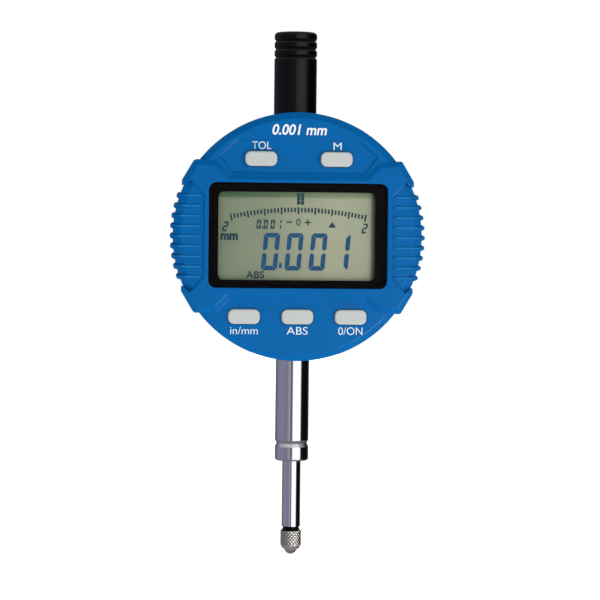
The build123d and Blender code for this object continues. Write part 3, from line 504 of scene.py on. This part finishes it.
# each legend: piece, words, height, place from the middle of the case, width, front, weight, slant
legends = [
    ("legend_tol", "TOL", KEY_TALL, (-8.7, 21.2), 4.45, panel_front, KEY_WEIGHT, 0.0),
    ("legend_m", "M", KEY_TALL, (9.0, 21.15), 1.9, panel_front, KEY_WEIGHT, 0.0),
    ("legend_unit", "in/mm", KEY_TALL, (-12.4, -21.85), 6.4, field_front, KEY_WEIGHT, 0.0),
    ("legend_abs", "ABS", KEY_TALL, (0.0, -21.85), 4.9, field_front, KEY_WEIGHT, 0.0),
    ("legend_zero", "0/ON", KEY_TALL, (12.45, -21.85), 5.65, field_front, KEY_WEIGHT, 0.0),
    ("legend_grade", "0.001 mm", 2.35, (0.1, 24.9), 12.7, field_front, 0.02, 0.18),
]
for name, words, tall, (x, z), wide, front_y, weight, slant in legends:
    mesh = text_mesh(name, words, tall * MM, case.x + x * MM, case.z + z * MM, front_y - PRINT_LIFT,
                     wide * MM, weight, slant)
    add_piece(name, mesh, "face", "print_white")


# ---------------------------------------------------------------- knurled contact point
contact_low, contact_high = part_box("contact_point")
contact_radius = (contact_high.x - contact_low.x) / 2
spindle_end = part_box("spindle")[0].z
KNURL_DEPTH = 0.14 * MM
KNURL_TOP = spindle_end - 0.85 * MM
KNURL_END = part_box("contact_ball")[0].z + 2.2 * MM


def knurled_contact():
    """The contact point with a diamond knurl, as one surface of stacked rings."""
    teeth = 18
    around = teeth * 12
    rise = 0.88 * MM
    groove_share = 0.55
    steps = 70
    # each ring: height, radius, share of the knurl's depth
    rings = [(contact_low.z, 1.30 * MM, 0.0), (contact_low.z + 0.02 * MM, 1.34 * MM, 0.0),
             (KNURL_END - 0.65 * MM, contact_radius - 0.35 * MM, 0.0),
             (KNURL_END - 0.02 * MM, contact_radius - 0.1 * MM, 0.0)]
    for i in range(steps + 1):
        rings.append((KNURL_END + (KNURL_TOP - KNURL_END) * i / steps, contact_radius, 1.0))
    rings += [(KNURL_TOP + 0.22 * MM, contact_radius - 0.3 * MM, 0.0), (spindle_end, 1.85 * MM, 0.0),
              (spindle_end + 0.1 * MM, 1.2 * MM, 0.0)]
    made = bmesh.new()
    loops = []
    for z, r, cut in rings:
        loop = []
        climb = (z - KNURL_END) / rise
        for k in range(around):
            turn = 2 * math.pi * k / around
            along = teeth * turn / (2 * math.pi)
            one = abs(((along + climb) % 1.0) * 2 - 1)
            two = abs(((along - climb) % 1.0) * 2 - 1)
            depth = KNURL_DEPTH * (1 - min(one, two, groove_share) / groove_share) * cut
            loop.append(made.verts.new(((r - depth) * math.cos(turn), (r - depth) * math.sin(turn), z)))
        loops.append(loop)
    for lower, upper in zip(loops, loops[1:]):
        for k in range(around):
            n = (k + 1) % around
            made.faces.new((lower[k], lower[n], upper[n], upper[k]))
    bmesh.ops.recalc_face_normals(made, faces=made.faces)
    mesh = finished("contact_knurled", made)
    mesh.polygons.foreach_set("use_smooth", [True] * len(mesh.polygons))
    return mesh


def paint_groove_shade(material, low_z, deep, full):
    """Paints shade into what lies below the tooth tips of the knurl, above low_z. The radius deep is
    darkest, and the radius full isn't darkened."""
    tree = material.node_tree
    shader = tree.nodes["Principled BSDF"]
    base = shader.inputs["Base Color"].links[0].from_socket
    place = split_place(tree, "Object")
    flat = tree.nodes.new("ShaderNodeCombineXYZ")
    tree.links.new(place["X"], flat.inputs["X"])
    tree.links.new(place["Y"], flat.inputs["Y"])
    radius = tree.nodes.new("ShaderNodeVectorMath")
    radius.operation = "LENGTH"
    tree.links.new(flat.outputs["Vector"], radius.inputs[0])
    depth = fade(tree, radius.outputs["Value"], full, deep)
    above = calculate(tree, "GREATER_THAN", place["Z"], low_z)
    strength = calculate(tree, "MULTIPLY", depth, above)
    # painted shade: the knurl's grooves are tinted near black
    darker = mix_colours(tree, strength, base, display(22, 16, 14))
    tree.links.new(darker, shader.inputs["Base Color"])


contact = add_piece("contact_knurled", knurled_contact(), "plunger", "contact_steel")
paint_groove_shade(looks["contact_steel"], KNURL_END, contact_radius - KNURL_DEPTH, contact_radius)
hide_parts("contact_point")

# the mask touches the lens in the CAD; moved back a little, its front doesn't coincide with the lens's back
MASK_SETBACK = 0.02 * MM
apart = nodes["window_mask"].modifiers.new("apart", "DISPLACE")
apart.direction = "Y"
apart.mid_level = 0.0
apart.strength = MASK_SETBACK

soften("rear_housing", 0.3)
soften("back_cover", 0.35)
soften("battery_cover", 0.15)


# ---------------------------------------------------------------- stage, light and camera
def flat_mesh(name, corners):
    """One flat face through the given corners."""
    made = bmesh.new()
    made.faces.new([made.verts.new(corner) for corner in corners])
    return finished(name, made)


# a white floor at the tip of the contact ball, see-through from below
FLOOR_REACH = 3.0
FLOOR_GLOW = 0.75
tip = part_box("contact_ball")[0].z
looks["paper"] = surface("paper", display(250, 250, 250), 0.9, grain_mm=0.8, grain=0.02, blotch_mm=60,
                         blotch=0.005, specular=0.0)
sheet = looks["paper"].node_tree
paper_shader = sheet.nodes["Principled BSDF"]
paper_shader.inputs["Emission Color"].default_value = (1, 1, 1, 1)
paper_shader.inputs["Emission Strength"].default_value = FLOOR_GLOW
side_seen = sheet.nodes.new("ShaderNodeNewGeometry")
from_above = calculate(sheet, "SUBTRACT", 1.0, side_seen.outputs["Backfacing"])
sheet.links.new(from_above, paper_shader.inputs["Alpha"])
floor_corners = [(side_x * FLOOR_REACH, side_y * FLOOR_REACH, tip)
                 for side_x, side_y in ((-1, -1), (1, -1), (1, 1), (-1, 1))]
floor = bpy.data.objects.new("floor", flat_mesh("floor", floor_corners))
bpy.context.scene.collection.objects.link(floor)
floor.data.materials.append(looks["paper"])
floor.visible_glossy = False
floor.visible_shadow = False


def studio_world():
    """White light that comes mostly from the front, with a studio made of soft bands seen only in
    reflections: grey to the left, a white strip just right of the camera, black beyond it."""
    world = bpy.data.worlds.new("studio")
    bpy.context.scene.world = world
    world.use_nodes = True
    tree = world.node_tree
    tree.nodes.clear()
    output = tree.nodes.new("ShaderNodeOutputWorld")
    rays = tree.nodes.new("ShaderNodeLightPath")
    way = split_place(tree, "Generated")
    front = calculate(tree, "MULTIPLY", way["Y"], -1.0)
    turn = calculate(tree, "ARCTAN2", way["X"], front)
    ramp = tree.nodes.new("ShaderNodeValToRGB")
    white = (1.35, 1.35, 1.37, 1)
    # each stop: degrees from straight in front towards the right, colour
    stops = [(-180, display(120, 118, 122)), (-150, display(92, 90, 104)), (-112, display(132, 131, 150)),
             (-70, display(134, 133, 154)), (-38, display(126, 124, 142)), (-20, display(168, 166, 176)),
             (-11, display(110, 106, 112)), (-4, display(74, 70, 74)), (5, white), (52, white),
             (61, display(60, 58, 56)),
             (68, display(20, 18, 16)), (126, display(12, 11, 10)), (146, display(96, 92, 92)),
             (180, display(120, 118, 122))]
    ramp.color_ramp.elements[0].position = 0.0
    ramp.color_ramp.elements[0].color = stops[0][1]
    ramp.color_ramp.elements[1].position = 1.0
    ramp.color_ramp.elements[1].color = stops[-1][1]
    for degrees, colour in stops[1:-1]:
        stop = ramp.color_ramp.elements.new((degrees + 180) / 360)
        stop.color = colour
    tree.links.new(fade(tree, turn, -math.pi, math.pi), ramp.inputs["Fac"])
    # grey below the object, bright above it, so that grooves and chamfers read as thin lines
    bands = tree.nodes.new("ShaderNodeBackground")
    colour = ramp.outputs["Color"]
    below, above = display(128, 124, 130), display(212, 210, 214)
    for edge, far, tone in ((-0.35, -0.8, below), (0.35, 0.8, above)):
        colour = mix_colours(tree, fade(tree, way["Z"], edge, far), colour, tone)
    tree.links.new(colour, bands.inputs["Color"])
    even = tree.nodes.new("ShaderNodeBackground")
    back_strength, front_strength = 0.12, 0.52
    strength = fade(tree, front, -0.15, 0.55, back_strength, front_strength)
    tree.links.new(strength, even.inputs["Strength"])
    paper = tree.nodes.new("ShaderNodeBackground")
    paper.inputs["Strength"].default_value = 1.0
    for plain in (even, paper):
        plain.inputs["Color"].default_value = (1, 1, 1, 1)
    mix = tree.nodes.new("ShaderNodeMixShader")
    tree.links.new(rays.outputs["Is Glossy Ray"], mix.inputs["Fac"])
    tree.links.new(even.outputs[0], mix.inputs[1])
    tree.links.new(bands.outputs[0], mix.inputs[2])
    seen = tree.nodes.new("ShaderNodeMixShader")
    tree.links.new(rays.outputs["Is Camera Ray"], seen.inputs["Fac"])
    tree.links.new(mix.outputs[0], seen.inputs[1])
    tree.links.new(paper.outputs[0], seen.inputs[2])
    tree.links.new(seen.outputs[0], output.inputs["Surface"])


studio_world()


def softbox(name, place, target, wide, tall, watts):
    """A rectangular soft light aimed at a point."""
    light = bpy.data.lights.new(name, "AREA")
    light.shape = "RECTANGLE"
    light.size = wide
    light.size_y = tall
    light.energy = watts
    lamp = bpy.data.objects.new(name, light)
    bpy.context.scene.collection.objects.link(lamp)
    lamp.location = place
    lamp.rotation_mode = "QUATERNION"
    lamp.rotation_quaternion = (Vector(target) - Vector(place)).to_track_quat("-Z", "Y")
    return lamp


# each lamp: name, place, width, height, watts
lamps = [
    ("key", (0.55, -0.45, 0.05), 0.35, 0.5, 1.65),
    ("fill", (-0.5, -0.6, 0.3), 0.5, 0.5, 0.45),
    ("rear", (0.1, 0.7, 0.2), 0.6, 0.6, 2.6),
]
for name, place, wide, tall, watts in lamps:
    softbox(name, place, case, wide, tall, watts).visible_glossy = False


def highlight(name, place, target, side, watts, receivers):
    """A small lamp that only makes highlights, and only on the given objects."""
    lamp = softbox(name, place, target, side, side, watts)
    lamp.visible_diffuse = False
    lamp.visible_camera = False
    group = bpy.data.collections.new(name + "_receivers")
    for receiver in receivers:
        group.objects.link(receiver)
    lamp.light_linking.receiver_collection = group


# the glint picks out rounded edges of the cover that face down to the right
glint_place = case + Vector((0.21, -0.345, -0.177))
highlight("glint", glint_place, case, 0.06, 6.0, [nodes["front_cover"]])
# the sparkle picks out the teeth of the knurl and the ball
sparkle_place = (0.40, -0.40, 0.05)
sparkle_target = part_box("contact_ball")[1]
highlight("sparkle", sparkle_place, sparkle_target, 0.22, 1.3, [contact, nodes["contact_ball"]])

CAMERA_AZIMUTH = -4.6
CAMERA_DISTANCE = 0.55
CAMERA_RISE = 7.0 * MM
CAMERA_ROLL = 0.62
LENS_MM = 141.3
SENSOR_MM = 36.0
aim = Vector((0.76 * MM, case.y - 4.0 * MM, case.z - 14.75 * MM))
camera_data = bpy.data.cameras.new("camera")
camera_data.lens = LENS_MM
camera_data.sensor_width = SENSOR_MM
camera = bpy.data.objects.new("camera", camera_data)
bpy.context.scene.collection.objects.link(camera)
turn = math.radians(CAMERA_AZIMUTH)
stand = Vector((aim.x, aim.y, case.z + CAMERA_RISE))
camera.location = stand + Vector((math.sin(turn), -math.cos(turn), 0)) * CAMERA_DISTANCE
camera.rotation_mode = "QUATERNION"
look = (aim - camera.location).to_track_quat("-Z", "Y")
roll = Matrix.Rotation(math.radians(CAMERA_ROLL), 3, "Z").to_quaternion()
camera.rotation_quaternion = look @ roll
camera_data.clip_start = 0.05
camera_data.clip_end = 20.0
bpy.context.scene.camera = camera
bpy.context.scene.view_settings.view_transform = "Standard"
